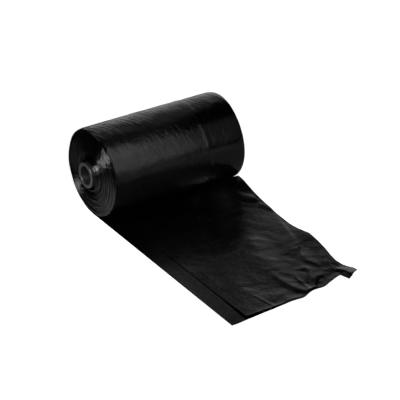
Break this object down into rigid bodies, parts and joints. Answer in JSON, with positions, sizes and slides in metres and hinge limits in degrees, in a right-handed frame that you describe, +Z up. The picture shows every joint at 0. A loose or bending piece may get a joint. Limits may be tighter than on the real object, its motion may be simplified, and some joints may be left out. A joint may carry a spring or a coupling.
{
  "type": "roll of dog poop bags",
  "caption": "Wound roll of black plastic waste bags on a small open core, with its leading bag drawn out flat in front, creased and gathered at the mouth.",
  "frame": {"origin": "on the table, under the middle of the roll's axis", "axes": "+X along the core towards the roll's flush end, +Y along the drawn-out bag towards the roll, +Z up"},
  "size_m": [0.0611, 0.1144, 0.0346],
  "materials": {
    "core_plastic": "matte charcoal plastic",
    "bag_film": "glossy black film, finely creased"
  },
  "bodies": {
    "root": {"core_tube": "core_plastic", "bag_web": "bag_film"}
  },
  "joints": []
}
